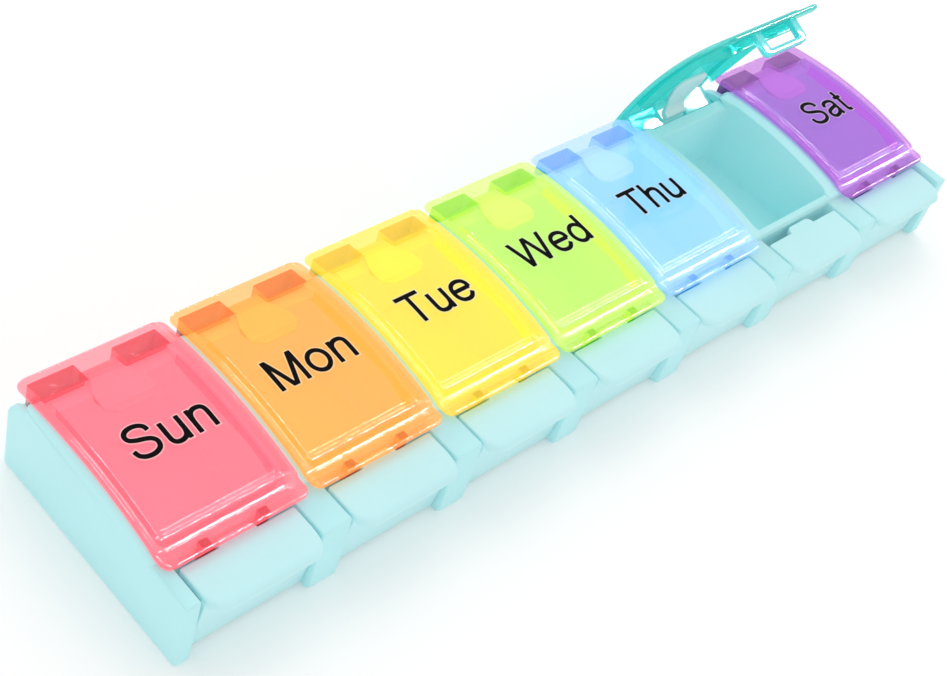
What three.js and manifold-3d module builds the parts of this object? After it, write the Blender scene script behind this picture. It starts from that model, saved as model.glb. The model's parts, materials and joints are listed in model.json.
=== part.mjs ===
// Weekly push-button pill organiser: one long tray of seven compartments,
// seven arched hinged lids, seven push buttons and seven lid springs.
// Millimetres, +Z up.  The tray runs along X, the buttons face -Y, the hinges are at +Y.
// The origin is at the middle of the underside, between the front of the buttons and the
// back of the open lid.
import * as THREE from 'three';
import { mergeVertices } from 'three/addons/utils/BufferGeometryUtils.js';
import Module from 'manifold-3d';

const wasm = await Module();
wasm.setup();

// ---------------------------------------------------------------- driving dimensions
// Heights below are stated from the plane of the button tops, depths from the front face
// of the tray; SHIFT_Y and SHIFT_Z bring them to the part's own origin.
const PITCH = 31.5;            // compartment spacing along X
const COUNT = 7;               // Sunday to Saturday
const END_X = 110.4;           // half the tray's length
const BASE_H = 16.6;           // button-top plane above the underside
const BACK_Y = 53.0;           // back face of the tray
const DIV_FRONT_W = 6.4;       // divider width at the button bays
const CELL_HX = 13.0;          // half the inside width of a compartment
const CELL_Y0 = 11.5, CELL_Y1 = 43.2;   // inside depth of a compartment
const CELL_FLOOR = -13.2;      // inside floor
const WELL_Y1 = 9.9;           // back of the button bay
const RIM_FRONT = 1.2;         // top of the wall between button bay and compartment
const RIM_REAR = 2.6;          // top of the wall between compartment and hinge slot
const SLOT_Y0 = 46.2;          // front of the hinge slot
const SLOT_Z = -4.6;           // bottom of the hinge slot
const EAR_X = 14.6;            // inner face of the hinge ears, from the middle of a compartment
const END_TOP = 0.6;           // top of the end plates beside the buttons
const ARC_R = 95, ARC_Y = 34;  // arch of the lids and dividers
const LID_TOP = 6.2;           // crown of the lids
const DIV_TOP = LID_TOP - 1.75;
const LID_T = 1.4;             // lid wall
const LID_HX = 15.2;           // half a lid's width
const LID_Y0 = 6.4, LID_Y1 = 51.9;
const DOME_Y = 10.9;           // the arch ends here and the latch flange starts
const FLANGE_Z0 = 0.9, FLANGE_Z1 = 2.3;
const HINGE_Y = 48.5, HINGE_Z = -1.1;
const BARREL_R = 1.9, PIN_R = 0.9, PIN_HOLE_R = 1.15;
const BARREL_X0 = 3.9, BARREL_X1 = 13.2, PIN_X1 = 15.0;
const LOOP_X0 = 5.1, LOOP_X1 = 7.15, LOOP_Y0 = 8.35, LOOP_Y1 = 9.55, LOOP_Z0 = -4.3, LOOP_BAR = 1.3;
const PAD_HX = 12.0, PAD_Y0 = -2.85, PAD_Y1 = 7.6, PAD_T = 1.6;
const SKIRT_HX = 12.25, SKIRT_Z0 = -16.0;
const TONGUE_HX = 4.1, TONGUE_Y1 = 8.0;
const LEAF_HX = 4.1, LEAF_NECK_HX = 3.5, LEAF_Y1 = 37.0, LEAF_T = 0.7, LEAF_GAP = 0.45;
const LEAF_PY = 48.5, LEAF_PZ = 1.6, LEAF_PR = 0.65;
const OPEN_DEG = 65.8;         // the Friday lid stands open at rest
const LEAF_RATIO = 1.1;        // a spring follows its lid by this much
const SHIFT_Y = -25.9357, SHIFT_Z = BASE_H;

const DAYS = ['sun', 'mon', 'tue', 'wed', 'thu', 'fri', 'sat'];
const LID_COLOURS = [0xff8a9c, 0xffb45a, 0xf6e63c, 0xb8f060, 0x9fcbff, 0x3cd8c8, 0xb07adc];
const TRAY_COLOUR = 0xafebee, PAD_COLOUR = 0xbff2f4, LEAF_COLOUR = 0xd8f6f4;

// ---------------------------------------------------------------- helpers
function solid(geometry) {
  const g = geometry.clone();
  g.deleteAttribute('normal');
  g.deleteAttribute('uv');
  const m = mergeVertices(g, 1e-4);
  return new wasm.Manifold(new wasm.Mesh({
    numProp: 3,
    vertProperties: new Float32Array(m.attributes.position.array),
    triVerts: new Uint32Array(m.index.array),
  }));
}
// a profile of [y, z] points swept from x0 to x1
function sweepX(points, x0, x1) {
  const shape = new THREE.Shape(points.map(([y, z]) => new THREE.Vector2(y, z)));
  const g = new THREE.ExtrudeGeometry(shape, { depth: x1 - x0, bevelEnabled: false, steps: 1 });
  g.applyMatrix4(new THREE.Matrix4().set(0, 0, 1, x0, 1, 0, 0, 0, 0, 1, 0, 0, 0, 0, 0, 1));
  return solid(g);
}
// an outline of [x, y] points raised from z0 to z1
function raiseZ(points, z0, z1) {
  const shape = new THREE.Shape(points.map(([x, y]) => new THREE.Vector2(x, y)));
  const g = new THREE.ExtrudeGeometry(shape, { depth: z1 - z0, bevelEnabled: false, steps: 1 });
  g.translate(0, 0, z0);
  return solid(g);
}
// an outline of [x, z] points pushed from y0 to y1
function raiseY(points, y0, y1) {
  const shape = new THREE.Shape(points.map(([x, z]) => new THREE.Vector2(x, z)));
  const g = new THREE.ExtrudeGeometry(shape, { depth: y1 - y0, bevelEnabled: false, steps: 1 });
  g.rotateX(Math.PI / 2);
  g.translate(0, y1, 0);
  return solid(g);
}
function block(x0, x1, y0, y1, z0, z1) {
  const g = new THREE.BoxGeometry(x1 - x0, y1 - y0, z1 - z0);
  g.translate((x0 + x1) / 2, (y0 + y1) / 2, (z0 + z1) / 2);
  return solid(g);
}
function rodX(y, z, r, x0, x1, seg = 20) {
  const g = new THREE.CylinderGeometry(r, r, x1 - x0, seg, 1);
  g.rotateZ(Math.PI / 2);
  g.translate((x0 + x1) / 2, y, z);
  return solid(g);
}
function arcPoints(cx, cy, r, a0, a1, n) {
  const out = [];
  for (let i = 0; i <= n; i++) {
    const a = (a0 + (a1 - a0) * i / n) * Math.PI / 180;
    out.push([cx + r * Math.cos(a), cy + r * Math.sin(a)]);
  }
  return out;
}
// rectangle with its own radius at each corner: [x0y0, x1y0, x1y1, x0y1]
function roundRect(x0, x1, y0, y1, radii, n = 4) {
  const [a, b, c, d] = radii;
  return [
    ...arcPoints(x0 + a, y0 + a, a, 180, 270, n),
    ...arcPoints(x1 - b, y0 + b, b, 270, 360, n),
    ...arcPoints(x1 - c, y1 - c, c, 0, 90, n),
    ...arcPoints(x0 + d, y1 - d, d, 90, 180, n),
  ];
}
const arch = (y, top) => top - (y - ARC_Y) ** 2 / (2 * ARC_R);
function archLine(y0, y1, top, n) {
  const out = [];
  for (let i = 0; i <= n; i++) {
    const y = y0 + (y1 - y0) * i / n;
    out.push([y, arch(y, top)]);
  }
  return out;
}
function union(list) { return list.reduce((a, b) => a.add(b)); }
function toMesh(manifold, name, colour, roughness, opacity = 1) {
  const m = manifold.getMesh();
  const g = new THREE.BufferGeometry();
  g.setAttribute('position', new THREE.BufferAttribute(new Float32Array(m.vertProperties), 3));
  g.setIndex(new THREE.BufferAttribute(new Uint32Array(m.triVerts), 1));
  g.computeVertexNormals();
  const material = new THREE.MeshStandardMaterial({ color: colour, roughness, metalness: 0 });
  if (opacity < 1) { material.transparent = true; material.opacity = opacity; }
  const mesh = new THREE.Mesh(g, material);
  mesh.name = name;
  return mesh;
}
const cellX = (k) => (k - (COUNT - 1) / 2) * PITCH;

// ---------------------------------------------------------------- tray
// rounded ears behind the rim, seen from the side; they carry the hinge pins
const EAR_END = [[BACK_Y, -5.6], [52.5, -4.0], [51.8, -2.8], [51.1, -1.6], [50.4, -0.45], [49.5, 0.5], [48.6, 1.2], [47.6, 1.65], [46.8, 1.8]];
const EAR_MID = [[BACK_Y, -3.6], [52.9, -1.8], [52.5, -0.6], [51.8, 0.2], [50.9, 0.8], [49.6, 1.3], [48.2, 1.65], [46.8, 1.8]];
// side profile shared by the dividers and the end plates
function wallProfile(frontTop, ear) {
  const rc = 1.2;                                       // soft lower front corner
  return [
    ...arcPoints(rc, -BASE_H + rc, rc, 180, 270, 3).map(([y, z]) => [y, z]),
    [BACK_Y - 0.8, -BASE_H], [BACK_Y, -BASE_H + 0.8],
    ...ear,
    [46.7, 2.0],
    [46.7, arch(46.0, DIV_TOP) - 0.3],
    ...archLine(46.0, 13.0, DIV_TOP, 10),
    [WELL_Y1, Math.max(RIM_FRONT, frontTop)],
    [WELL_Y1, frontTop],
    [0.6, frontTop], [0.15, frontTop - 0.15], [0, frontTop - 0.6],
  ];
}

function buildTray() {
  // body behind the button bays, up to the rim of the front wall
  let tray = block(-END_X + 1, END_X - 1, 4.0, BACK_Y, -BASE_H, -15.4);          // floor plate
  tray = tray.add(block(-END_X + 1, END_X - 1, WELL_Y1, SLOT_Y0, -BASE_H, RIM_FRONT));
  tray = tray.add(block(-END_X + 1, END_X - 1, 40, SLOT_Y0, -BASE_H, RIM_REAR)); // rear wall
  tray = tray.add(sweepX([[SLOT_Y0 - 1, -BASE_H], [BACK_Y, -BASE_H], [BACK_Y, SLOT_Z - 0.4], [BACK_Y - 0.4, SLOT_Z], [SLOT_Y0 - 1, SLOT_Z]],
    -END_X + 1, END_X - 1));
  const wall = wallProfile(0, EAR_MID);
  for (let k = 0; k < COUNT - 1; k++) {
    const x = cellX(k) + PITCH / 2;
    tray = tray.add(sweepX(wall, x - DIV_FRONT_W / 2, x + DIV_FRONT_W / 2));
  }
  const plate = wallProfile(END_TOP, EAR_END);
  for (const s of [-1, 1]) {
    const xa = s * END_X, xb = s * (cellX(COUNT - 1) + CELL_HX);
    tray = tray.add(sweepX(plate, Math.min(xa, xb), Math.max(xa, xb)));
  }
  // soft vertical edges at the back of the end plates
  const outline = raiseZ(roundRect(-END_X, END_X, -1, BACK_Y, [0.5, 0.5, 2.6, 2.6], 5), -BASE_H - 1, 8);
  tray = tray.intersect(outline);
  // compartments, open at the top
  for (let k = 0; k < COUNT; k++) {
    const x = cellX(k);
    tray = tray.subtract(raiseZ(roundRect(x - CELL_HX, x + CELL_HX, CELL_Y0, CELL_Y1, [1.2, 1.2, 1.2, 1.2], 3), CELL_FLOOR, 8));
    // moulding pocket in the underside below each compartment
    tray = tray.subtract(raiseZ(roundRect(x - CELL_HX + 1.5, x + CELL_HX - 1.5, CELL_Y0 + 1.5, CELL_Y1 - 1.5, [1.5, 1.5, 1.5, 1.5], 2), -BASE_H - 1, CELL_FLOOR - 1.6));
    // hinge slot between the ears, open to the back, with the upright tab the lid spring grows from
    tray = tray.subtract(block(x - EAR_X, x + EAR_X, SLOT_Y0, BACK_Y + 1, SLOT_Z, 8));
    tray = tray.add(block(x - LEAF_NECK_HX, x + LEAF_NECK_HX, LEAF_PY - 0.6, LEAF_PY + 0.6, SLOT_Z - 0.5, LEAF_PZ - LEAF_PR - 0.35));
    // pin holes for this lid, blind in the ears
    for (const s of [-1, 1]) {
      const xa = x + s * (EAR_X - 0.5), xb = x + s * (PIN_X1 + 0.3);
      tray = tray.subtract(rodX(HINGE_Y, HINGE_Z, PIN_HOLE_R, Math.min(xa, xb), Math.max(xa, xb), 20));
    }
  }
  return tray;
}

// ---------------------------------------------------------------- lid (closed position, centred on x = 0)
function buildLid() {
  const under = (y) => arch(y, LID_TOP - LID_T);
  const profile = [
    [LID_Y0 + 0.5, FLANGE_Z0], [9.6, FLANGE_Z0], [9.6, 1.5], [13.0, under(13.0)],
    ...archLine(14.5, 50.6, LID_TOP - LID_T, 12),
    [51.5, 3.35], [LID_Y1, 3.7],
    [LID_Y1, 4.0], [51.4, arch(51.4, LID_TOP) - 0.35],
    ...archLine(50.7, DOME_Y + 0.5, LID_TOP, 14),
    [DOME_Y + 0.1, arch(DOME_Y, LID_TOP) - 0.25], [DOME_Y, arch(DOME_Y, LID_TOP) - 0.7], [DOME_Y - 0.1, FLANGE_Z1 + 0.15], [DOME_Y - 0.4, FLANGE_Z1],
    [LID_Y0 + 0.9, FLANGE_Z1 - 0.05], [LID_Y0 + 0.25, FLANGE_Z1 - 0.35], [LID_Y0, FLANGE_Z1 - 0.9], [LID_Y0 + 0.1, FLANGE_Z0 + 0.2],
  ];
  let lid = sweepX(profile, -LID_HX, LID_HX);
  lid = lid.intersect(raiseZ(roundRect(-LID_HX, LID_HX, LID_Y0, LID_Y1, [2.0, 2.0, 2.5, 2.5], 5), -1, 9));
  // latch loop, a rounded frame hanging from the flange
  const frameOut = roundRect(-LOOP_X1, LOOP_X1, LOOP_Z0, FLANGE_Z0 + 0.4, [1.7, 1.7, 0.01, 0.01], 5);
  const frameIn = roundRect(-LOOP_X0, LOOP_X0, LOOP_Z0 + LOOP_BAR, FLANGE_Z0 + 2, [0.6, 0.6, 0.01, 0.01], 3);
  const loop = raiseY(frameOut, LOOP_Y0, LOOP_Y1).subtract(raiseY(frameIn, LOOP_Y0 - 1, LOOP_Y1 + 1));
  lid = lid.add(loop);
  // hinge blocks, barrels and pins
  for (const s of [-1, 1]) {
    const xa = Math.min(s * BARREL_X0, s * BARREL_X1), xb = Math.max(s * BARREL_X0, s * BARREL_X1);
    const web = sweepX([
      [HINGE_Y - BARREL_R, HINGE_Z], [HINGE_Y + BARREL_R, HINGE_Z],
      [HINGE_Y + BARREL_R, under(HINGE_Y + BARREL_R) + 0.4], [HINGE_Y - BARREL_R, under(HINGE_Y - BARREL_R) + 0.4],
    ], xa, xb);
    lid = lid.add(web).add(rodX(HINGE_Y, HINGE_Z, BARREL_R, xa, xb, 20));
    const pa = Math.min(s * (BARREL_X1 - 1), s * PIN_X1), pb = Math.max(s * (BARREL_X1 - 1), s * PIN_X1);
    lid = lid.add(rodX(HINGE_Y, HINGE_Z, PIN_R, pa, pb, 16));
  }
  return lid;
}

// ---------------------------------------------------------------- push button
function buildButton() {
  const pad = sweepX([
    [PAD_Y0 + 0.9, -PAD_T], [PAD_Y1, -PAD_T], [PAD_Y1, -0.15], [PAD_Y1 - 0.15, 0],
    ...arcPoints(PAD_Y0 + 1.2, -1.2, 1.2, 90, 180, 4), [PAD_Y0 + 0.25, -1.45],
  ], -PAD_HX, PAD_HX).intersect(raiseZ(roundRect(-PAD_HX, PAD_HX, PAD_Y0, PAD_Y1, [3.4, 3.4, 0.5, 0.5], 5), -3, 1));
  const tongue = sweepX([
    [PAD_Y1 - 1, -PAD_T], [TONGUE_Y1 - 0.6, -PAD_T], [TONGUE_Y1, -1.0], [TONGUE_Y1, -0.35], [TONGUE_Y1 - 0.35, 0], [PAD_Y1 - 1, 0],
  ], -TONGUE_HX, TONGUE_HX).intersect(raiseZ(roundRect(-TONGUE_HX, TONGUE_HX, PAD_Y1 - 2, TONGUE_Y1, [0.1, 0.1, 0.9, 0.9], 3), -3, 1));
  const skirt = sweepX([
    [-0.15, -1.0], [1.95, SKIRT_Z0 + 0.5], [2.3, SKIRT_Z0], [3.0, SKIRT_Z0], [3.4, SKIRT_Z0 + 0.5], [1.35, -1.0],
  ], -SKIRT_HX, SKIRT_HX);
  const parts = [pad, tongue, skirt];
  for (const x of [-8, 8]) {                       // stiffening ribs behind the skirt
    parts.push(sweepX([[1.0, -1.2], [5.4, -1.2], [5.4, -2.0], [2.4, -8.0], [1.4, -8.0]], x - 0.6, x + 0.6));
  }
  return union(parts);
}

// ---------------------------------------------------------------- lid spring (a flat leaf that bends up out of the hinge slot)
function buildLeaf() {
  const top = LID_TOP - LID_T - LEAF_GAP;
  const strip = [
    [LEAF_PY + 0.65, LEAF_PZ], [LEAF_PY + 0.55, 2.2], [48.7, 2.75], [48.0, 3.15], [47.2, arch(47.2, top) - 0.12],
    ...archLine(46.2, LEAF_Y1, top, 6),
    ...archLine(LEAF_Y1, 46.2, top - LEAF_T, 6),
    [46.9, 2.6], [47.5, 2.25], [47.8, 1.95], [LEAF_PY - 0.65, LEAF_PZ],
  ];
  const plan = [[-LEAF_NECK_HX, LEAF_PY + 1], [-LEAF_NECK_HX, 45.7], [-LEAF_HX, 45.0], [-LEAF_HX, 38.5], [-2.6, LEAF_Y1],
    [2.6, LEAF_Y1], [LEAF_HX, 38.5], [LEAF_HX, 45.0], [LEAF_NECK_HX, 45.7], [LEAF_NECK_HX, LEAF_PY + 1]];
  const leaf = sweepX(strip, -LEAF_HX, LEAF_HX).intersect(raiseZ(plan, 0, 9));
  return leaf.add(rodX(LEAF_PY, LEAF_PZ, LEAF_PR, -LEAF_NECK_HX, LEAF_NECK_HX, 16));
}

// ---------------------------------------------------------------- assembly
const group = new THREE.Group();
const frame = new THREE.Group();
frame.position.set(0, SHIFT_Y, SHIFT_Z);
group.add(frame);

frame.add(toMesh(buildTray(), 'base_tray', TRAY_COLOUR, 0.45));

const lidSolid = buildLid(), buttonSolid = buildButton(), leafSolid = buildLeaf();
for (let k = 0; k < COUNT; k++) {
  const open = DAYS[k] === 'fri' ? OPEN_DEG : 0;
  const lid = toMesh(lidSolid, 'lid_' + DAYS[k], LID_COLOURS[k], 0.15, 0.8);
  const lidGroup = new THREE.Group();
  lidGroup.position.set(cellX(k), HINGE_Y, HINGE_Z);
  lidGroup.rotation.x = -open * Math.PI / 180;
  lid.position.set(0, -HINGE_Y, -HINGE_Z);
  lidGroup.add(lid);
  frame.add(lidGroup);

  const leaf = toMesh(leafSolid, 'spring_' + DAYS[k], LEAF_COLOUR, 0.4);
  const leafGroup = new THREE.Group();
  leafGroup.position.set(cellX(k), LEAF_PY, LEAF_PZ);
  leafGroup.rotation.x = -open * LEAF_RATIO * Math.PI / 180;
  leaf.position.set(0, -LEAF_PY, -LEAF_PZ);
  leafGroup.add(leaf);
  frame.add(leafGroup);

  const button = toMesh(buttonSolid, 'button_' + DAYS[k], PAD_COLOUR, 0.4);
  button.position.set(cellX(k), 0, 0);
  frame.add(button);
}

export default group;
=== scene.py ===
# Looks of the weekly push-button pill organiser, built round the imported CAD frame.
# Millimetres inside the builders (depth y from the front face of the tray, height z from the
# plane of the button tops); put() brings them to the row frame in metres.
import json
import math

import bmesh
import bpy
import numpy as np
from mathutils import Matrix, Vector

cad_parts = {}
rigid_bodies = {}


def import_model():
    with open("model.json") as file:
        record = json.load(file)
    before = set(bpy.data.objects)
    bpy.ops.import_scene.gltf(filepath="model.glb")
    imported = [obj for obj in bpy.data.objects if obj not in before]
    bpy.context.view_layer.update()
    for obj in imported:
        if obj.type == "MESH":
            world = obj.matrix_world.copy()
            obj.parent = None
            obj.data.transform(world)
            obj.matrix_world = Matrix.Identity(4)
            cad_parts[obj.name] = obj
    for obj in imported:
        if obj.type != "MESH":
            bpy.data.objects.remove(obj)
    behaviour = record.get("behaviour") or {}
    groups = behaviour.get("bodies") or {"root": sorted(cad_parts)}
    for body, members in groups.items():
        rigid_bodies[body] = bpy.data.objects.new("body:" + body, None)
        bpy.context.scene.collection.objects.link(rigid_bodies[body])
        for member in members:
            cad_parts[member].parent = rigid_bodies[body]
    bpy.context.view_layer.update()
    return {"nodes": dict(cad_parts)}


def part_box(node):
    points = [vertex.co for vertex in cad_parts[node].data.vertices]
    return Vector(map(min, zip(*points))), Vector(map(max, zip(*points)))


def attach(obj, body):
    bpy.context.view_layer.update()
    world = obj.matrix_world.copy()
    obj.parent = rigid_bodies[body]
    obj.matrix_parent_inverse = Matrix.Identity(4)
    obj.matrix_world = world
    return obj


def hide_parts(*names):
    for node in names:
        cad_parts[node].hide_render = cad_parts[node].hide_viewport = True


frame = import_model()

scene = bpy.context.scene

MM = 0.001
tray_lo, tray_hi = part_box("base_tray")
OFF_Y = tray_hi.y / MM - 53.0
OFF_Z = tray_lo.z / MM + 16.6
PITCH = 31.5
DAYS = ["sun", "mon", "tue", "wed", "thu", "fri", "sat"]
WORDS = {"sun": "Sun", "mon": "Mon", "tue": "Tue", "wed": "Wed", "thu": "Thu", "fri": "Fri", "sat": "Sat"}
HINGE = (48.5, -1.1)
LEAF_PIVOT = (48.5, 1.6)
OPEN_DEG = 65.8
LEAF_RATIO = 1.1


def cell_x(k):
    return (k - 3) * PITCH


# ------------------------------------------------------------------ small tools
def smooth(t):
    t = np.clip(t, 0.0, 1.0)
    return t * t * (3 - 2 * t)


def arch(y, top):
    return top - (y - 34.0) ** 2 / 190.0


def srgb(r, g, b):
    def lin(c):
        c = c / 255.0
        return c / 12.92 if c <= 0.04045 else ((c + 0.055) / 1.055) ** 2.4

    return (lin(r), lin(g), lin(b))


def put(k, pivot=None, degrees=0.0):
    """Matrix from the builders' millimetres to the row frame, turned about a hinge line if asked."""
    to_row = Matrix.Translation(((cell_x(k)) * MM, OFF_Y * MM, OFF_Z * MM)) @ Matrix.Scale(MM, 4)
    if pivot is None or degrees == 0.0:
        return to_row
    there = Matrix.Translation((0, pivot[0], pivot[1]))
    turn = Matrix.Rotation(-math.radians(degrees), 4, "X")
    return to_row @ there @ turn @ there.inverted()


def link(name, mesh):
    ob = bpy.data.objects.new(name, mesh)
    scene.collection.objects.link(ob)
    return ob


def finish_shading(mesh, degrees):
    for p in mesh.polygons:
        p.use_smooth = True
    mesh.set_sharp_from_angle(angle=math.radians(degrees))


def apply_modifiers(ob):
    dg = bpy.context.evaluated_depsgraph_get()
    dg.update()
    new = bpy.data.meshes.new_from_object(ob.evaluated_get(dg), preserve_all_data_layers=True, depsgraph=dg)
    old = ob.data
    ob.modifiers.clear()
    ob.data = new
    if old.users == 0:
        bpy.data.meshes.remove(old)
    return ob


# ------------------------------------------------------------------ materials
def new_material(name):
    m = bpy.data.materials.new(name)
    m.use_nodes = True
    m.node_tree.nodes.clear()
    return m, m.node_tree


def noise(nt, coord, scale, detail=2.0, rough=0.5):
    n = nt.nodes.new("ShaderNodeTexNoise")
    n.inputs["Scale"].default_value = scale
    n.inputs["Detail"].default_value = detail
    n.inputs["Roughness"].default_value = rough
    nt.links.new(coord, n.inputs["Vector"])
    return n.outputs["Fac"]


def ramp(nt, fac, stops):
    r = nt.nodes.new("ShaderNodeValToRGB")
    els = r.color_ramp.elements
    while len(els) > 1:
        els.remove(els[-1])
    els[0].position = stops[0][0]
    els[0].color = (*stops[0][1], 1)
    for pos, col in stops[1:]:
        e = els.new(pos)
        e.color = (*col, 1)
    nt.links.new(fac, r.inputs["Fac"])
    return r.outputs["Color"]


def math_node(nt, op, a, b=None):
    n = nt.nodes.new("ShaderNodeMath")
    n.operation = op
    for i, v in enumerate((a, b)):
        if v is None:
            continue
        if isinstance(v, (int, float)):
            n.inputs[i].default_value = v
        else:
            nt.links.new(v, n.inputs[i])
    return n.outputs[0]


def bump(nt, height, strength, distance, after=None):
    b = nt.nodes.new("ShaderNodeBump")
    b.inputs["Strength"].default_value = strength
    b.inputs["Distance"].default_value = distance
    nt.links.new(height, b.inputs["Height"])
    if after is not None:
        nt.links.new(after, b.inputs["Normal"])
    return b.outputs["Normal"]


def scaled(c, f):
    return tuple(min(1.0, max(0.0, v * f)) for v in c)


def moulded(name, colour, rough=0.42, vary=0.03, coat=0.0, sss=0.0, painted_glow=0.0):
    """Satin injection-moulded plastic: faint flow marks in the colour, a fine eggshell skin; painted_glow adds painted
    light, a weak emission in the plastic's own colour.
    """
    m, nt = new_material(name)
    tc = nt.nodes.new("ShaderNodeTexCoord").outputs["Object"]
    broad = noise(nt, tc, 55.0, 3.0, 0.55)
    fine = noise(nt, tc, 900.0, 2.0, 0.6)
    mid = noise(nt, tc, 260.0, 3.0, 0.5)
    mix = math_node(nt, "ADD", math_node(nt, "MULTIPLY", broad, 0.75), math_node(nt, "MULTIPLY", fine, 0.25))
    col = ramp(nt, mix, [(0.3, scaled(colour, 1 - vary)), (0.5, colour), (0.7, scaled(colour, 1 + vary))])
    p = nt.nodes.new("ShaderNodeBsdfPrincipled")
    nt.links.new(col, p.inputs["Base Color"])
    r = math_node(nt, "ADD", math_node(nt, "MULTIPLY", mid, 0.14), rough - 0.07)
    nt.links.new(r, p.inputs["Roughness"])
    n = bump(nt, fine, 0.25, 0.00003)
    n = bump(nt, broad, 0.12, 0.0003, n)
    nt.links.new(n, p.inputs["Normal"])
    p.inputs["IOR"].default_value = 1.49
    # painted light: a weak self-glow in the plastic's own colour lifts its shaded hollows
    if painted_glow:
        p.inputs["Emission Color"].default_value = (*colour, 1)
        p.inputs["Emission Strength"].default_value = painted_glow
    p.inputs["Specular IOR Level"].default_value = 0.45
    if coat:
        p.inputs["Coat Weight"].default_value = coat
        p.inputs["Coat Roughness"].default_value = 0.2
    if sss:
        p.inputs["Subsurface Weight"].default_value = sss
        p.inputs["Subsurface Radius"].default_value = (0.6, 1.0, 1.0)
        p.inputs["Subsurface Scale"].default_value = 0.002
    out = nt.nodes.new("ShaderNodeOutputMaterial")
    nt.links.new(p.outputs[0], out.inputs["Surface"])
    return m


def tinted(name, face, tint, share, rough=0.07, vary=0.05, painted_glow=0.0, coat_ior=1.5):
    """Glossy see-through coloured plastic: part of the light passes with a tint, part comes back from the plastic
    itself, and painted_glow adds painted light, an emission in the face colour.
    """
    m, nt = new_material(name)
    tc = nt.nodes.new("ShaderNodeTexCoord").outputs["Object"]
    broad = noise(nt, tc, 70.0, 2.0, 0.5)
    fine = noise(nt, tc, 520.0, 2.0, 0.5)
    col = ramp(nt, broad, [(0.3, scaled(face, 1 - vary)), (0.5, face), (0.72, scaled(face, 1 + vary))])
    p = nt.nodes.new("ShaderNodeBsdfPrincipled")
    nt.links.new(col, p.inputs["Base Color"])
    r = math_node(nt, "ADD", math_node(nt, "MULTIPLY", fine, 0.05), rough)
    nt.links.new(r, p.inputs["Roughness"])
    n = bump(nt, broad, 0.10, 0.0004)
    nt.links.new(n, p.inputs["Normal"])
    # painted light: the plastic glows in its face colour, so the lids look lit from inside
    if painted_glow:
        p.inputs["Emission Color"].default_value = (*face, 1)
        p.inputs["Emission Strength"].default_value = painted_glow
    p.inputs["IOR"].default_value = 1.58
    p.inputs["Coat Weight"].default_value = 1.0
    p.inputs["Coat Roughness"].default_value = 0.03
    p.inputs["Coat IOR"].default_value = coat_ior
    t = nt.nodes.new("ShaderNodeBsdfTransparent")
    t.inputs["Color"].default_value = (*tint, 1)
    mix = nt.nodes.new("ShaderNodeMixShader")
    mix.inputs["Fac"].default_value = share
    nt.links.new(t.outputs[0], mix.inputs[1])
    nt.links.new(p.outputs[0], mix.inputs[2])
    out = nt.nodes.new("ShaderNodeOutputMaterial")
    nt.links.new(mix.outputs[0], out.inputs["Surface"])
    return m


def ink(name):
    m, nt = new_material(name)
    tc = nt.nodes.new("ShaderNodeTexCoord").outputs["Object"]
    grain = noise(nt, tc, 1400.0, 2.0, 0.6)
    col = ramp(nt, grain, [(0.3, (0.002, 0.0015, 0.002)), (0.7, (0.006, 0.004, 0.005))])
    p = nt.nodes.new("ShaderNodeBsdfPrincipled")
    nt.links.new(col, p.inputs["Base Color"])
    nt.links.new(math_node(nt, "ADD", math_node(nt, "MULTIPLY", grain, 0.2), 0.38), p.inputs["Roughness"])
    nt.links.new(bump(nt, grain, 0.2, 0.00002), p.inputs["Normal"])
    p.inputs["Specular IOR Level"].default_value = 0.06
    out = nt.nodes.new("ShaderNodeOutputMaterial")
    nt.links.new(p.outputs[0], out.inputs["Surface"])
    return m


# ------------------------------------------------------------------ pieces made from the CAD solids
def cad_copy(node):
    """The CAD solid as clean flat faces in a new bmesh, still in the metres of the row frame, placed as in the whole
    tray.
    """
    bm = bmesh.new()
    bm.from_mesh(frame["nodes"][node].data)
    bmesh.ops.remove_doubles(bm, verts=bm.verts, dist=2e-6)
    bmesh.ops.dissolve_limit(bm, angle_limit=math.radians(0.6), verts=bm.verts, edges=bm.edges, delimit=set())
    return bm


def soften(bm, edges, width, segments=3, clamp=True):
    if edges:
        bmesh.ops.bevel(
            bm, geom=edges, offset=width, offset_type="OFFSET", segments=segments, profile=0.5,
            affect="EDGES", clamp_overlap=clamp, miter_outer="SHARP", miter_inner="SHARP",
        )


def corner_edges(bm, lowest=52.0, convex=True):
    out = []
    for e in bm.edges:
        if len(e.link_faces) != 2:
            continue
        a = e.calc_face_angle_signed(0.0)
        if convex and a < 0:
            continue
        if abs(math.degrees(a)) >= lowest:
            out.append(e)
    return out


def in_mm(v):
    return v.x / MM, v.y / MM - OFF_Y, v.z / MM - OFF_Z


def build_tray():
    bm = cad_copy("base_tray")
    # broad soft outer top edges of the end plates
    broad = []
    for e in bm.edges:
        (xa, ya, za), (xb, yb, zb) = in_mm(e.verts[0].co), in_mm(e.verts[1].co)
        if len(e.link_faces) != 2:
            continue
        if abs(abs(xa) - 110.4) < 0.02 and abs(abs(xb) - 110.4) < 0.02 and xa * xb > 0:
            if math.degrees(e.calc_face_angle(0.0)) < 50:
                continue
            if min(za, zb) > -1.2 and 1.0 < (ya + yb) / 2 < 50.0:
                broad.append(e)
    soften(bm, broad, 1.1 * MM, 4, False)
    edges = []
    for e in corner_edges(bm):
        (xa, ya, za), (xb, yb, zb) = in_mm(e.verts[0].co), in_mm(e.verts[1].co)
        r_a = math.hypot(ya - HINGE[0], za - HINGE[1])
        r_b = math.hypot(yb - HINGE[0], zb - HINGE[1])
        if r_a < 1.4 and r_b < 1.4:
            continue
        edges.append(e)
    soften(bm, edges, 0.3 * MM, 2, False)
    me = bpy.data.meshes.new("tray_shell")
    bm.to_mesh(me)
    bm.free()
    finish_shading(me, 40)
    ob = link("tray_shell", me)
    return ob


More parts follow.
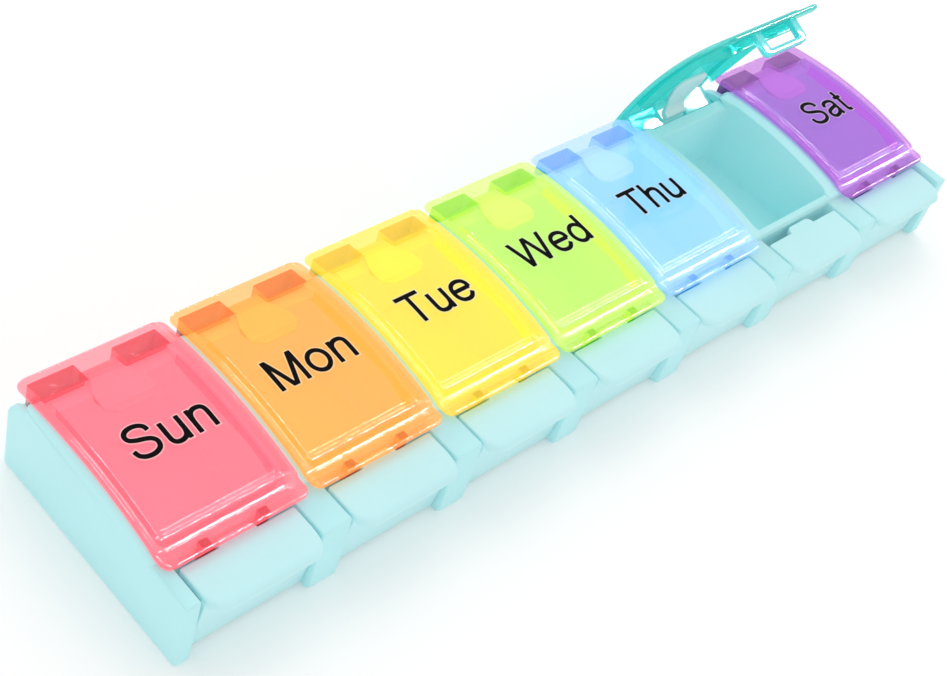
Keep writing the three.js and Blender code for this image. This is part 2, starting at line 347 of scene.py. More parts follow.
def build_leaf(node, name, k, wide, width, segments=3, smooth_deg=42):
    """The leaf: its paddle is broader than its neck, which passes between the hinge blocks."""
    bm = cad_copy(node)
    pivot_y, pivot_z = (LEAF_PIVOT[0] + OFF_Y) * MM, (LEAF_PIVOT[1] + OFF_Z) * MM
    for v in bm.verts:
        reach = math.hypot(v.co.y - pivot_y, v.co.z - pivot_z) / MM
        if reach > 4.2:
            v.co.x = cell_x(k) * MM + (v.co.x - cell_x(k) * MM) * (1.0 + 0.32 * min(1.0, (reach - 4.2) / 2.5))
    soften(bm, corner_edges(bm, wide), width * MM, segments, False)
    me = bpy.data.meshes.new(name)
    bm.to_mesh(me)
    bm.free()
    finish_shading(me, smooth_deg)
    return link(name, me)


# ------------------------------------------------------------------ lid
LID_HX, LID_Y0, LID_Y1 = 15.2, 6.95, 51.9
R_FRONT, R_REAR = 2.0, 2.5
SEAL_FRONT, SEAL_REAR = -0.1, 2.35


def rounded_inset(x, y, x_half, y0, y1, r):
    """How far inside a rounded rectangle a point is (negative outside)."""
    cy, hy = (y0 + y1) / 2, (y1 - y0) / 2
    qx = np.abs(x) - (x_half - r)
    qy = np.abs(y - cy) - (hy - r)
    d = np.minimum(np.maximum(qx, qy), 0) + np.hypot(np.maximum(qx, 0), np.maximum(qy, 0)) - r
    return -d


def lid_inset(x, y):
    r = np.where(y < 29, R_FRONT, R_REAR)
    return rounded_inset(x, y, LID_HX, LID_Y0, LID_Y1, r)


def blend_low(a, b, k):
    """The lower of two heights with a soft change-over."""
    h = np.maximum(k - np.abs(a - b), 0.0) / k
    return np.minimum(a, b) - h * h * k / 4


def lid_top(x, y):
    e = lid_inset(x, y)
    side = LID_HX - np.abs(x)
    panel = arch(y, 6.2)
    rim = panel - 0.42
    up = smooth((side - 1.1) / 1.1)
    z = rim + (panel - rim) * up
    flange = 2.3 - 0.22 * smooth(rounded_inset(x, y, 13.2, 7.75, 10.6, 1.3) / 0.35)
    # the step between flange and panel, with small radii at its head and foot
    climb = flange + (y - 10.8) * 1.45
    z = blend_low(climb, z, 0.3)
    z = -blend_low(-z, -flange, 0.3)
    # rear lip rolls down to the edge
    z = z - 0.9 * smooth((y - 50.3) / 1.7) ** 2
    return z - fillet(e, 0.5)


def lid_under(x, y):
    u = arch(y, 4.8)
    hollow = np.minimum(np.minimum(13.1 - np.abs(x), y - 13.4), 45.4 - y)
    u = u + 0.45 * smooth(hollow / 0.35 + 0.5)
    front = 1.28 + (arch(13.0, 4.8) - 1.28) * (y - 9.6) / 3.4
    u = np.where(y < 13.0, front, u)
    u = np.where(y < 9.6, 1.28, u)
    return u + fillet(lid_inset(x, y), np.where(y < 9.6, 0.42, 0.2))


def slab(name, X, Y, top, bot):
    """A closed solid between two height fields over the same grid."""
    rows, cols = X.shape
    verts = [(X[i, j], Y[i, j], top[i, j]) for i in range(rows) for j in range(cols)]
    base = len(verts)
    verts += [(X[i, j], Y[i, j], bot[i, j]) for i in range(rows) for j in range(cols)]
    faces = []
    for i in range(rows - 1):
        for j in range(cols - 1):
            a, b, c, d = i * cols + j, i * cols + j + 1, (i + 1) * cols + j + 1, (i + 1) * cols + j
            faces.append((a, b, c, d))
            faces.append((base + d, base + c, base + b, base + a))
    ring = [(0, j) for j in range(cols)] + [(i, cols - 1) for i in range(1, rows)]
    ring += [(rows - 1, j) for j in range(cols - 2, -1, -1)] + [(i, 0) for i in range(rows - 2, 0, -1)]
    for n in range(len(ring)):
        (i0, j0), (i1, j1) = ring[n], ring[(n + 1) % len(ring)]
        a, b = i0 * cols + j0, i1 * cols + j1
        faces.append((a, base + a, base + b, b))
    me = bpy.data.meshes.new(name)
    me.from_pydata(verts, [], faces)
    bm = bmesh.new()
    bm.from_mesh(me)
    bmesh.ops.recalc_face_normals(bm, faces=bm.faces)
    bm.to_mesh(me)
    bm.free()
    me.update()
    return me


def plan_grid(ts, ys, x_half, y0, y1, r0, r1):
    """Columns that follow the rounded corners of the outline."""
    ts, ys = np.array(ts, float), np.array(ys, float)
    hx = np.full(ys.shape, float(x_half))
    f = ys < y0 + r0
    hx[f] = x_half - r0 + np.sqrt(np.maximum(r0 ** 2 - (r0 - (ys[f] - y0)) ** 2, 0))
    f = ys > y1 - r1
    hx[f] = x_half - r1 + np.sqrt(np.maximum(r1 ** 2 - (r1 - (y1 - ys[f])) ** 2, 0))
    return ts[None, :] * hx[:, None], np.repeat(ys[:, None], len(ts), 1)


def fillet(e, r):
    e = np.maximum(e, 0)
    return np.where(e < r, r - np.sqrt(np.maximum(r * r - (r - e) ** 2, 0)), 0.0)


def join(name, parts, materials=()):
    """Boolean union of closed meshes, keeping each part's material."""
    ob = link(name, parts[0])
    for mt in materials:
        ob.data.materials.append(mt)
    tools = []
    for n, me in enumerate(parts[1:]):
        t = link(f"{name}_tool_{n}", me)
        tools.append(t)
        mod = ob.modifiers.new(f"join_{n}", "BOOLEAN")
        mod.operation = "UNION"
        mod.solver = "EXACT"
        mod.material_mode = "TRANSFER"
        mod.object = t
    apply_modifiers(ob)
    for t in tools:
        bpy.data.objects.remove(t)
    me = ob.data
    bpy.data.objects.remove(ob)
    return me


def lid_cover():
    half = [0, 0.14, 0.28, 0.42, 0.55, 0.67, 0.76, 0.81, 0.835, 0.846, 0.851, 0.856, 0.865, 0.88, 0.9, 0.92, 0.931,
            0.945, 0.958, 0.968, 0.977, 0.985, 0.991, 0.996, 0.999, 1.0]
    t = np.array([-v for v in reversed(half[1:])] + half)
    ys = [6.4, 6.42, 6.47, 6.55, 6.66, 6.8, 6.95, 7.1, 7.3, 7.5, 7.65, 7.8, 7.9, 8.01, 8.2, 8.8, 9.3, 9.58, 9.62,
          10.1, 10.22, 10.3, 10.38, 10.46, 10.55, 10.65, 10.74, 10.8, 10.86, 10.95, 11.1, 11.25, 11.4, 11.52, 11.58, 11.66, 11.72, 11.78, 11.84, 11.9, 12.0, 12.15,
          12.5, 12.98, 13.2, 13.3, 13.4, 13.5, 13.6, 13.8, 14.6]
    y = 15.8
    while y < 44.6:
        ys.append(y)
        y += 1.25
    ys += [45.0, 45.2, 45.3, 45.4, 45.5, 45.6, 45.9, 46.6, 47.4, 48.2, 49.0, 49.6, 50.1, 50.4, 50.7, 50.95, 51.15,
           51.35, 51.5, 51.62, 51.72, 51.8, 51.86, 51.89, 51.9]
    ys = [v if v > 8.0 else LID_Y0 + (v - 6.4) * (8.0 - LID_Y0) / 1.6 for v in ys]
    X, Y = plan_grid(t, ys, LID_HX, LID_Y0, LID_Y1, R_FRONT, R_REAR)
    top, bot = lid_top(X, Y), lid_under(X, Y)
    return slab("cover", X, Y, np.maximum(top, bot + 0.05), bot)


def prism(points, x0, x1, name, soft=0.0, segments=3, lowest=50):
    """A closed [y, z] profile swept along x, with softened corners."""
    bm = bmesh.new()
    a = [bm.verts.new((x0, y, z)) for y, z in points]
    b = [bm.verts.new((x1, y, z)) for y, z in points]
    n = len(points)
    bm.faces.new(a)
    bm.faces.new(list(reversed(b)))
    for i in range(n):
        bm.faces.new((a[i], b[i], b[(i + 1) % n], a[(i + 1) % n]))
    bmesh.ops.recalc_face_normals(bm, faces=bm.faces)
    if soft:
        soften(bm, corner_edges(bm, lowest), soft, segments)
    me = bpy.data.meshes.new(name)
    bm.to_mesh(me)
    bm.free()
    return me


def arc(cy, cz, r, a0, a1, n):
    return [(cy + r * math.cos(math.radians(a0 + (a1 - a0) * i / n)), cz + r * math.sin(math.radians(a0 + (a1 - a0) * i / n)))
            for i in range(n + 1)]


def hinge_block(s):
    x0, x1 = sorted((s * 3.9, s * 13.2))
    y, z = HINGE
    r = 1.9
    pts = arc(y, z, r, 180, 360, 14)
    pts += [(y + r, arch(y + r, 4.8) + 0.5), (y - r - 0.9, arch(y - r, 4.8) + 0.75), (y - r - 0.9, arch(y - r, 4.8) + 0.02), (y - r - 0.08, arch(y - r, 4.8) - 0.6)]
    return prism(pts, x0, x1, "block", 0.22, 3, 50)


def pin(s):
    x0, x1 = sorted((s * 12.2, s * 15.0))
    pts = arc(HINGE[0], HINGE[1], 0.9, 0, 342, 19)
    return prism(pts, x0, x1, "pin", 0.15, 2, 60)


def loop_frame():
    def outline(x1, z0, z1, r, n):
        pts = [(-x1, z1)]
        pts += [(-x1 + r + r * math.cos(math.radians(a)), z0 + r + r * math.sin(math.radians(a))) for a in np.linspace(180, 270, n)]
        pts += [(x1 - r + r * math.cos(math.radians(a)), z0 + r + r * math.sin(math.radians(a))) for a in np.linspace(270, 360, n)]
        pts += [(x1, z1)]
        return pts

    outer = outline(7.15, -4.3, 1.5, 1.7, 9)
    inner = outline(5.1, -2.8, 1.5, 0.6, 9)
    bm = bmesh.new()
    n = len(outer)
    rings = []
    for y in (8.05, 9.65):
        rings.append(([bm.verts.new((x, y, z)) for x, z in outer], [bm.verts.new((x, y, z)) for x, z in inner]))
    (of, inf), (ob, inb) = rings
    for i in range(n - 1):
        bm.faces.new((of[i], of[i + 1], inf[i + 1], inf[i]))
        bm.faces.new((ob[i], inb[i], inb[i + 1], ob[i + 1]))
        bm.faces.new((of[i], ob[i], ob[i + 1], of[i + 1]))
        bm.faces.new((inf[i], inf[i + 1], inb[i + 1], inb[i]))
    for i in (0, n - 1):
        bm.faces.new((of[i], inf[i], inb[i], ob[i]))
    bmesh.ops.recalc_face_normals(bm, faces=bm.faces)
    soften(bm, [e for e in corner_edges(bm, 55)], 0.28, 3)
    me = bpy.data.meshes.new("loop")
    bm.to_mesh(me)
    bm.free()
    return me


def seal_wall():
    """The thin wall under the cover that drops just inside the compartment: across the front and along both sides."""
    path, corner = [], 1.6
    x, y0, y1, t = 12.3, 12.4, 42.5, 0.32
    path += [(-x, y) for y in np.linspace(y1, y0 + corner, 25)]
    path += [(-x + corner - corner * math.cos(a), y0 + corner - corner * math.sin(a)) for a in np.linspace(0.2, math.pi / 2 - 0.2, 5)]
    path += [(v, y0) for v in np.linspace(-x + corner, x - corner, 9)]
    path += [(x - corner + corner * math.sin(a), y0 + corner - corner * math.cos(a)) for a in np.linspace(0.2, math.pi / 2 - 0.2, 5)]
    path += [(x, y) for y in np.linspace(y0 + corner, y1, 25)]
    path = np.array(path)
    along = np.gradient(path, axis=0)
    along /= np.linalg.norm(along, axis=1)[:, None]
    side = np.stack([-along[:, 1], along[:, 0]], 1)
    inner, outer = path + side * t, path - side * t
    low = SEAL_FRONT + (SEAL_REAR - SEAL_FRONT) * smooth((path[:, 1] - y0) / 9.0)
    high = arch(path[:, 1], 4.8) + 0.75
    # cross-section of the wall, rounded along its lower edge
    rows = []
    for i in range(len(path)):
        a, b = outer[i], inner[i]
        m = (a + b) / 2
        rows.append([(*a, high[i]), (*a, low[i] + 0.22), (*(m + (a - m) * 0.6), low[i] + 0.05), (*(m + (b - m) * 0.6), low[i] + 0.05),
                     (*b, low[i] + 0.22), (*b, high[i])])
    n = len(rows[0])
    verts = [v for r in rows for v in r]
    faces = []
    for i in range(len(rows) - 1):
        for j in range(n):
            a, b = i * n + j, i * n + (j + 1) % n
            faces.append((a, b, b + n, a + n))
    faces += [tuple(range(n)), tuple(reversed(range(len(verts) - n, len(verts))))]
    me = bpy.data.meshes.new("seal")
    me.from_pydata([tuple(float(c) for c in v) for v in verts], [], faces)
    bm = bmesh.new()
    bm.from_mesh(me)
    bmesh.ops.recalc_face_normals(bm, faces=bm.faces)
    bm.to_mesh(me)
    bm.free()
    return me


def lid_mesh():
    """One lid, closed, in millimetres: the cover joined with its latch loop, hinge blocks and pins.
    The parts below the cover use the second material, which is deeper in colour."""
    clear, deep = bpy.data.materials.new("_clear"), bpy.data.materials.new("_deep")
    parts = [lid_cover(), seal_wall(), loop_frame(), hinge_block(-1), hinge_block(1), pin(-1), pin(1)]
    parts[1].materials.append(clear)
    for p in parts[2:]:
        p.materials.append(deep)
    me = join("lid_work", parts, (clear, deep))
    # the margin round the panel, the flange and the rear end take the third material, a copy of the lid plastic with
    # less painted glow and more opaque colour, so they read deeper than the panel
    me.materials.append(bpy.data.materials.new("_rim"))
    for p in me.polygons:
        if p.material_index == 0 and (abs(p.center.x) > 13.15 or p.center.y < 12.75 or p.center.y > 45.5):
            p.material_index = 2
    return me


# ------------------------------------------------------------------ push button
def button_mesh():
    """Rounded pad with its tongue, the leaning front skirt under it and two ribs behind the skirt."""
    x_half, y0, y1 = 12.0, -2.85, 7.6
    half = [0, 0.2, 0.4, 0.58, 0.7, 0.78, 0.84, 0.885, 0.915, 0.937, 0.953, 0.966, 0.977, 0.986, 0.993, 0.998, 1.0]
    ts = [-v for v in reversed(half[1:])] + half
    ys = [y0 + v for v in (0, 0.015, 0.06, 0.13, 0.23, 0.36, 0.52, 0.7, 0.9, 1.12, 1.36, 1.65, 2.0, 2.4, 2.9, 3.4, 3.45, 4.4, 5.6, 6.9, 7.9,
                            9.2, 9.8, 9.95, 10.06, 10.16, 10.25, 10.33, 10.39, 10.43, 10.45)]
    X, Y = plan_grid(ts, ys, x_half, y0, y1, 3.4, 0.5)
    r = np.where(Y < 1.6, 3.4, 0.5)
    e = rounded_inset(X, Y, x_half, y0, y1, r)
    soft = 0.4 + 0.9 * smooth((2.6 - Y) / 4.0)
    crown = -0.10 * smooth((0.0 - Y) / 2.6)
    top = crown - fillet(e, soft)
    bot = -1.6 + fillet(e, 0.25)
    pad = slab("pad", X, Y, np.maximum(top, bot + 0.04), bot)

    hx, t0, t1 = 4.1, 5.0, 9.2
    half = [0, 0.4, 0.7, 0.82, 0.88, 0.92, 0.95, 0.975, 0.99, 1.0]
    ts = [-v for v in reversed(half[1:])] + half
    ys = [5.0, 6.0, 6.8, 7.3, 7.5, 7.7, 7.9, 8.1, 8.3, 8.48, 8.64, 8.78, 8.9, 9.0, 9.08, 9.14, 9.18, 9.2]
    X, Y = plan_grid(ts, ys, hx, t0, t1, 0.01, 1.7)
    e = rounded_inset(X, Y, hx, 3.0, t1, 1.7)
    bot = -1.6 + fillet(e, 0.2)
    tongue = slab("tongue", X, Y, -fillet(e, 0.35), bot)

    skirt = prism([(-0.15, -1.0), (0.5, -5.8), (1.1, -10.2), (1.78, -15.3), (2.05, -15.85), (2.45, -16.0), (2.95, -16.0), (3.3, -15.8), (3.4, -15.4), (1.35, -1.0)],
                  -12.25, 12.25, "skirt", 0.3, 3, 50)
    parts = [pad, tongue, skirt]
    for x in (-8, 8):
        parts.append(prism([(1.0, -1.2), (5.4, -1.2), (5.4, -2.0), (2.4, -8.0), (1.4, -8.0)], x - 0.6, x + 0.6, "rib"))
    return join("button_work", parts)


# ------------------------------------------------------------------ lettering
# Generic day abbreviations, drawn as strokes on a 2048-unit em.
BAR = 195.0
SC, SL, SX = "curve", "line", "bar"
GLYPHS = {
    "S": (1366, [(SC, [(1118, 1028), (1070, 1215), (900, 1345), (660, 1392), (420, 1350), (265, 1230), (228, 1080),
                       (300, 935), (520, 830), (760, 765), (1000, 675), (1130, 545), (1158, 400), (1095, 225), (905, 108),
                       (690, 72), (440, 108), (245, 240), (168, 470)])]),
    "u": (1139, [(SC, [(222, 1062), (222, 760), (222, 460), (245, 235), (345, 108), (520, 68), (700, 105), (835, 215), (905, 400), (915, 560)]),
                 (SL, [(915, 1062), (915, 0)])]),
    "n": (1139, [(SL, [(225, 1062), (225, 0)]),
                 (SC, [(230, 540), (280, 800), (420, 955), (600, 1000), (780, 965), (882, 850), (914, 660), (915, 330), (915, 0)])]),
    "M": (1706, [(SL, [(245, 0), (245, 1466)]), (SL, [(1460, 1466), (1460, 0)]),
                 (SX, [(262, 1466 + 30), (852, 0 - 100)]), (SX, [(852, 0 - 100), (1443, 1466 + 30)])]),
    "o": (1139, [(SC, [(570 + 427 * math.cos(a), 531 + 470 * math.sin(a)) for a in np.linspace(0.0, 2 * math.pi, 25)])]),
    "T": (1251, [(SL, [(42, 1380), (1208, 1380)]), (SL, [(624, 1380), (624, 0)])]),
    "e": (1139, [(SL, [(150, 575), (992, 575)]),
                 (SC, [(990, 560), (955, 790), (835, 940), (600, 1002), (370, 950), (215, 800), (160, 560), (200, 300), (350, 115), (590, 62), (800, 120), (965, 320)])]),
    "W": (1933, [(SX, [(85, 1466 + 120), (505, -120)]), (SX, [(445, -120), (995, 1466 + 120)]),
                 (SX, [(938, 1466 + 120), (1488, -120)]), (SX, [(1428, -120), (1848, 1466 + 120)])]),
    "d": (1139, [(SL, [(915, 1466), (915, 0)]),
                 (SC, [(540 + 380 * math.cos(a), 531 + 470 * math.sin(a)) for a in np.linspace(0.0, 2 * math.pi, 25)])]),
    "h": (1139, [(SL, [(225, 1466), (225, 0)]),
                 (SC, [(230, 540), (280, 800), (420, 955), (600, 1000), (780, 965), (882, 850), (914, 660), (915, 330), (915, 0)])]),
    "F": (1251, [(SL, [(268, 0), (268, 1466)]), (SL, [(268, 1380), (1160, 1380)]), (SL, [(268, 720), (1020, 720)])]),
    "r": (682, [(SL, [(222, 1062), (222, 0)]), (SC, [(232, 560), (270, 800), (370, 930), (500, 975), (655, 925)])]),
    "i": (455, [(SL, [(227, 0), (227, 1062)]), (SL, [(227, 1262), (227, 1466)])]),
    "a": (1139, [(SC, [(170, 740), (245, 905), (420, 995), (620, 1003), (800, 945), (882, 820), (885, 640), (887, 250), (900, 110), (945, 0)]),
                 (SC, [(885, 620), (700, 570), (420, 515), (230, 435), (158, 290), (200, 140), (330, 66), (520, 72), (730, 160), (860, 310), (885, 480)])]),
    "t": (569, [(SC, [(268, 1400), (268, 1000), (268, 600), (268, 300), (290, 135), (370, 78), (520, 84)]), (SL, [(35, 985), (515, 985)])]),
}


def catmull(pts, n=6):
    p = [np.array(q, float) for q in pts]
    closed = np.linalg.norm(p[0] - p[-1]) < 1e-6
    if closed:
        p = [p[-2]] + p + [p[1]]
    else:
        p = [2 * p[0] - p[1]] + p + [2 * p[-1] - p[-2]]
    out = []
    for i in range(1, len(p) - 2):
        for j in range(n):
            t = j / n
            out.append(0.5 * ((2 * p[i]) + (p[i + 1] - p[i - 1]) * t + (2 * p[i - 1] - 5 * p[i] + 4 * p[i + 1] - p[i + 2]) * t * t
                              + (3 * p[i] - p[i - 1] - 3 * p[i + 1] + p[i + 2]) * t ** 3))
    out.append(p[-2])
    return out


def stroke_field(kind, pts, px, py, scale_, ox):
    """Signed distance in mm to one stroke with square-cut ends."""
    line = catmull(pts) if kind == SC else [np.array(q, float) for q in pts]
    line = [np.array([ox + q[0] * scale_, q[1] * scale_]) for q in line]
    w = BAR * scale_ / 2
    closed = np.linalg.norm(line[0] - line[-1]) < 1e-6
    best = np.full(px.shape, 1e9)
    m = len(line) - 1
    lengths = [float(np.hypot(*(line[i + 1] - line[i]))) for i in range(m)]
    total, run = sum(lengths), 0.0
    d0, d1 = (line[1] - line[0]) / lengths[0], (line[-1] - line[-2]) / lengths[-1]
    cut0 = -((px - line[0][0]) * d0[0] + (py - line[0][1]) * d0[1])
    cut1 = (px - line[-1][0]) * d1[0] + (py - line[-1][1]) * d1[1]
    for i in range(m):
        a, L = line[i], lengths[i]
        ux, uy = (line[i + 1] - a) / L
        s = np.clip((px - a[0]) * ux + (py - a[1]) * uy, 0.0 if i or closed else -w, L if i < m - 1 or closed else L + w)
        f = np.hypot(px - (a[0] + ux * s), py - (a[1] + uy * s)) - w
        if not closed and run < 1.3 * w:
            f = np.maximum(f, cut0)
        if not closed and total - run - L < 1.3 * w:
            f = np.maximum(f, cut1)
        best = np.minimum(best, f)
        run += L
    if kind == SX:
        best = np.maximum(best, -py)
        best = np.maximum(best, py - 1466 * scale_)
    return best


def word_field(word, scale_, step):
    width = sum(GLYPHS[c][0] for c in word) * scale_
    xs = np.arange(-0.9, width + 0.9, step)
    ys = np.arange(-0.9, 1466 * scale_ + 0.9, step)
    px, py = np.meshgrid(xs, ys)
    f = np.full(px.shape, 1e9)
    ox = 0.0
    for c in word:
        adv, strokes = GLYPHS[c]
        for kind, pts in strokes:
            f = np.minimum(f, stroke_field(kind, pts, px, py, scale_, ox))
        ox += adv * scale_
    return xs, ys, f


def contour_plate(name, xs, ys, f, x_off, y_off, z_low, z_high):
    """Marching squares over the field: a thin plate wherever it is below zero, lying on the arched lid."""
    rows, cols = f.shape
    points, index = [], {}

    def node(i, j):
        key = ("n", i, j)
        if key not in index:
            index[key] = len(points)
            points.append((xs[j], ys[i]))
        return index[key]

    def cut(i0, j0, i1, j1):
        key = ("e", i0, j0, i1, j1) if (i0, j0) < (i1, j1) else ("e", i1, j1, i0, j0)
        if key not in index:
            a, b = f[i0, j0], f[i1, j1]
            t = min(0.98, max(0.02, a / (a - b)))
            index[key] = len(points)
            points.append((xs[j0] + (xs[j1] - xs[j0]) * t, ys[i0] + (ys[i1] - ys[i0]) * t))
        return index[key]

    polys = []
    inside = f < 0
    any_in = inside[:-1, :-1] | inside[1:, :-1] | inside[:-1, 1:] | inside[1:, 1:]
    for i, j in zip(*np.nonzero(any_in)):
        corner = [(i, j), (i, j + 1), (i + 1, j + 1), (i + 1, j)]
        flags = [bool(inside[c]) for c in corner]
        if all(flags):
            polys.append([node(*c) for c in corner])
            continue
        if flags in ([True, False, True, False], [False, True, False, True]):
            for n in range(4):
                if flags[n]:
                    p, q = corner[(n - 1) % 4], corner[(n + 1) % 4]
                    polys.append([cut(*p, *corner[n]), node(*corner[n]), cut(*corner[n], *q)])
            continue
        poly = []
        for n in range(4):
            a, b = corner[n], corner[(n + 1) % 4]
            if flags[n]:
                poly.append(node(*a))
            if flags[n] != flags[(n + 1) % 4]:
                poly.append(cut(*a, *b))
        polys.append(poly)
    base = len(points)

    def lift(p, dz):
        x, y = p[0] + x_off, p[1] + y_off
        return (x, y, float(lid_top(np.array(x), np.array(y))) + dz)

    verts = [lift(p, z_high) for p in points] + [lift(p, z_low) for p in points]
    faces = [tuple(p) for p in polys] + [tuple(base + q for q in reversed(p)) for p in polys]
    used = {}
    for p in polys:
        for n in range(len(p)):
            used[(p[n], p[(n + 1) % len(p)])] = True
    for (a, b) in used:
        if (b, a) not in used:
            faces.append((b, a, base + a, base + b))
    me = bpy.data.meshes.new(name)
    me.from_pydata(verts, [], faces)
    bm = bmesh.new()
    bm.from_mesh(me)
    bmesh.ops.recalc_face_normals(bm, faces=bm.faces)
    bm.to_mesh(me)
    bm.free()
    me.update()
    return me


# left end of the ink and baseline of each word, from the middle of its lid
PLACE = {"sun": (-7.95, 25.2), "mon": (-9.2, 25.3), "tue": (-8.7, 25.3), "wed": (-9.95, 25.5), "thu": (-8.5, 25.1),
         "fri": (-5.6, 25.3), "sat": (-6.6, 25.7)}
UNIT = 7.1 / 1466


# ------------------------------------------------------------------ colours
TRAY = srgb(184, 234, 237)
PAD = srgb(196, 241, 244)
LEAF = srgb(230, 248, 247)
LIDS = {
    # day: (own colour, see-through tint, colour of the parts below), linear
    "sun": ((0.98, 0.07, 0.104), (0.97, 0.82, 0.855), (0.60, 0.012, 0.03)),
    "mon": ((0.98, 0.29, 0.017), (1.0, 0.86, 0.67), (0.70, 0.09, 0.002)),
    "tue": ((0.90, 0.58, 0.017), (0.94, 0.87, 0.62), (0.80, 0.66, 0.002)),
    "wed": ((0.49, 0.72, 0.035), (0.90, 0.88, 0.79), (0.20, 0.85, 0.005)),
    "thu": ((0.28, 0.50, 0.80), (0.86, 0.88, 0.94), (0.05, 0.48, 0.95)),
    "fri": ((0.023, 0.38, 0.35), (0.26, 0.78, 0.76), (0.12, 0.78, 0.80)),
    "sat": ((0.347, 0.07, 0.486), (0.83, 0.71, 0.85), (0.16, 0.05, 0.28)),
}
HALOS = {"sun": srgb(255, 205, 208), "mon": srgb(255, 232, 170), "tue": srgb(250, 250, 190), "wed": srgb(225, 255, 180),
         "thu": srgb(222, 240, 255), "fri": srgb(190, 250, 245), "sat": srgb(222, 190, 240)}

# painted light: the tray glows weakly (0.10) to lift its shaded compartments, the buttons faintly (0.03)
tray_mat = moulded("tray_plastic", TRAY, 0.5, 0.02, painted_glow=0.10)
pad_mat = moulded("button_plastic", PAD, 0.44, 0.02, painted_glow=0.03)
leaf_mat = moulded("spring_plastic", LEAF, 0.38, 0.02)
ink_mat = ink("printed_ink")

# ------------------------------------------------------------------ build
tray = build_tray()
tray.data.materials.append(tray_mat)
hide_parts("base_tray")
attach(tray, "tray")

lid_proto = lid_mesh()
button_proto = button_mesh()
for k, day in enumerate(DAYS):
    me = button_proto.copy()
    me.name = f"push_button_{day}"
    me.transform(put(k))
    me.materials.clear()
    me.materials.append(pad_mat)
    finish_shading(me, 38)
    pad = link(f"push_button_{day}", me)
    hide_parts(f"button_{day}")
    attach(pad, f"button_{day}")

    leaf = build_leaf(f"spring_{day}", f"lid_leaf_{day}", k, 50, 0.12, 2)
    leaf.data.materials.append(leaf_mat)
    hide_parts(f"spring_{day}")
    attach(leaf, f"spring_{day}")

    open_deg = OPEN_DEG if day == "fri" else 0.0
    place = put(k, HINGE, open_deg)
    face, tint, deep = LIDS[day]
    me = lid_proto.copy()
    me.name = f"cover_{day}"
    me.transform(place)
    # painted light: the panel material glows strongly (1.65), the rim copy less (1.05) and the parts below faintly
    # (0.1)
    me.materials[0] = tinted(f"lid_plastic_{day}", face, tint, 0.25, painted_glow=1.65, coat_ior=2.1)
    me.materials[1] = tinted(f"lid_plastic_deep_{day}", deep, tint, 0.88, painted_glow=0.1)
    me.materials[2] = tinted(f"lid_plastic_rim_{day}", face, tint, 0.33, painted_glow=1.05, coat_ior=1.9)
    finish_shading(me, 32)
    lid = link(f"cover_{day}", me)
    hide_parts(f"lid_{day}")
    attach(lid, f"lid_{day}")

    xs, ys, f = word_field(WORDS[day], UNIT, 0.11)
    left, base_y = PLACE[day]
    ink_left = {"S": 92, "M": 150, "T": 42, "W": 10, "F": 168}[WORDS[day][0]] * UNIT
    for kind, grow, z0, z1, mat in (("halo", 0.24, -0.02, 0.03, None), ("lettering", 0.0, 0.0, 0.06, ink_mat)):
        me = contour_plate(f"{kind}_{day}", xs, ys, f - grow, left - ink_left, base_y, z0, z1)
        me.transform(place)
        if mat is None:
            mat = tinted(f"halo_{day}", HALOS[day], tint, 0.8, 0.25)
        me.materials.append(mat)
        finish_shading(me, 30)
        ob = link(f"{kind}_{day}", me)
        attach(ob, f"lid_{day}")
bpy.data.meshes.remove(lid_proto)
bpy.data.meshes.remove(button_proto)

# ------------------------------------------------------------------ floor, light, camera
def floor_material():
    m, nt = new_material("pale_floor")
    tc = nt.nodes.new("ShaderNodeTexCoord").outputs["Object"]
    n = noise(nt, tc, 3.0, 2.0, 0.5)
    col = ramp(nt, n, [(0.3, (0.94, 0.92, 0.915)), (0.7, (0.96, 0.94, 0.935))])
    p = nt.nodes.new("ShaderNodeBsdfPrincipled")
    nt.links.new(col, p.inputs["Base Color"])
    p.inputs["Roughness"].default_value = 0.85
    p.inputs["Emission Color"].default_value = (1.0, 1.0, 1.0, 1)
    p.inputs["Emission Strength"].default_value = 0.1
    p.inputs["Specular IOR Level"].default_value = 0.1
    out = nt.nodes.new("ShaderNodeOutputMaterial")
    nt.links.new(p.outputs[0], out.inputs["Surface"])
    return m


me = bpy.data.meshes.new("floor")
S = 3.0
me.from_pydata([(-S, -S, -0.00005), (S, -S, -0.00005), (S, S, -0.00005), (-S, S, -0.00005)], [], [(0, 1, 2, 3)])
floor = link("floor", me)
me.materials.append(floor_material())


def area(name, where, target, size_x, size_y, power):
    d = bpy.data.lights.new(name, "AREA")
    d.shape = "RECTANGLE"
    d.size, d.size_y, d.energy = size_x, size_y, power
    o = bpy.data.objects.new(name, d)
    scene.collection.objects.link(o)
    o.location = where
    o.rotation_mode = "QUATERNION"
    o.rotation_quaternion = (Vector(target) - Vector(where)).to_track_quat("-Z", "Y")
    return o


key = area("key", (0.6, 0.7, 1.5), (0, 0, 0), 1.2, 1.2, 5.5)
key.visible_glossy = False


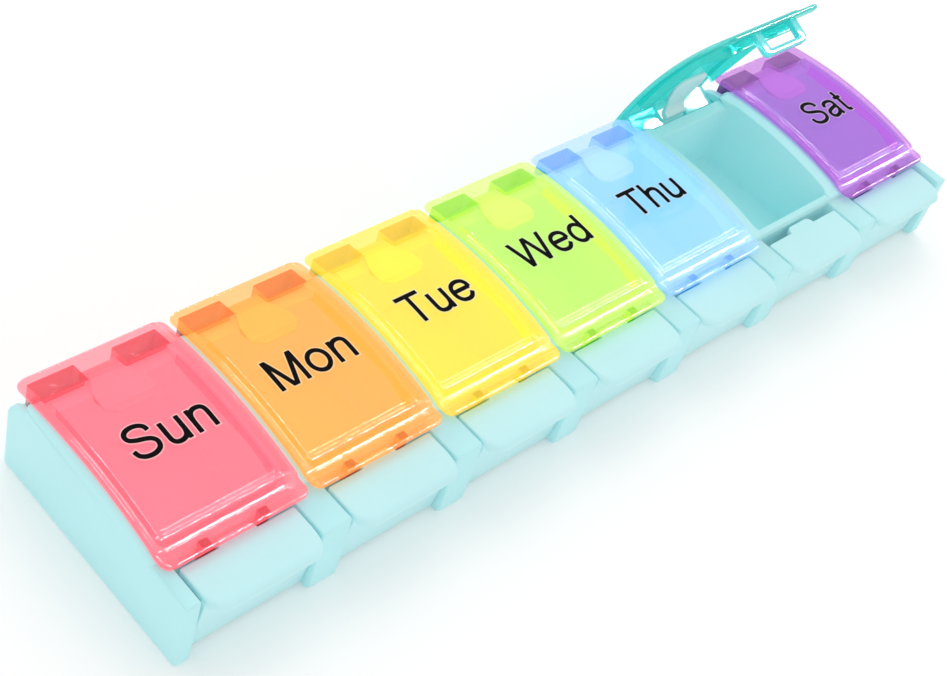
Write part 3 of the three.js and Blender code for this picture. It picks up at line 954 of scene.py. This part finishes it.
# the lids alone catch the highlight strips
lid_group = bpy.data.collections.new("lids_lit_by_strips")
for day in DAYS:
    lid_group.objects.link(bpy.data.objects[f"cover_{day}"])


def strip(name, first, last, width, radiance):
    """A long far light seen only as a highlight line."""
    a, b = Vector(first), Vector(last)
    d = bpy.data.lights.new(name, "AREA")
    d.shape = "RECTANGLE"
    d.size, d.size_y = (b - a).length, width
    d.energy = radiance * math.pi * d.size * d.size_y
    o = bpy.data.objects.new(name, d)
    scene.collection.objects.link(o)
    mid = (a + b) / 2
    z = mid.normalized()
    x = (b - a).normalized()
    x = (x - z * x.dot(z)).normalized()
    y = z.cross(x)
    t = Matrix.Identity(4)
    for i in range(3):
        t[i][0], t[i][1], t[i][2] = x[i], y[i], z[i]
        t[i][3] = mid[i]
    o.matrix_world = t
    o.visible_diffuse = False
    o.light_linking.receiver_collection = lid_group
    return o


strip("strip_front", (1.6, -1.40, 4.75), (4.4, -0.75, 2.6), 0.45, 110.0)
strip("strip_side", (1.0, -0.9, 4.7), (1.2, 2.6, 4.2), 0.3, 40.0)

w = bpy.data.worlds.new("studio")
w.use_nodes = True
w.node_tree.nodes["Background"].inputs["Color"].default_value = (1, 1, 1, 1)
w.node_tree.nodes["Background"].inputs["Strength"].default_value = 0.86
scene.world = w

R = [[0.711533, -0.660131, 0.240723], [-0.365506, -0.64032, -0.675571], [0.600105, 0.392705, -0.696891]]
cam_data = bpy.data.cameras.new("camera")
cam_data.lens = 63.94
cam_data.sensor_width = 36.0
cam_data.clip_start, cam_data.clip_end = 0.01, 20.0
cam = bpy.data.objects.new("camera", cam_data)
scene.collection.objects.link(cam)
rx, ry, rz = (Vector(v) for v in R)
m = Matrix.Identity(4)
for i in range(3):
    m[i][0], m[i][1], m[i][2] = rx[i], -ry[i], -rz[i]
m[0][3], m[1][3], m[2][3] = -0.222024, -0.1325527, 0.242507
cam.matrix_world = m
scene.camera = cam

scene.view_settings.view_transform = "Standard"
scene.cycles.transparent_max_bounces = 24
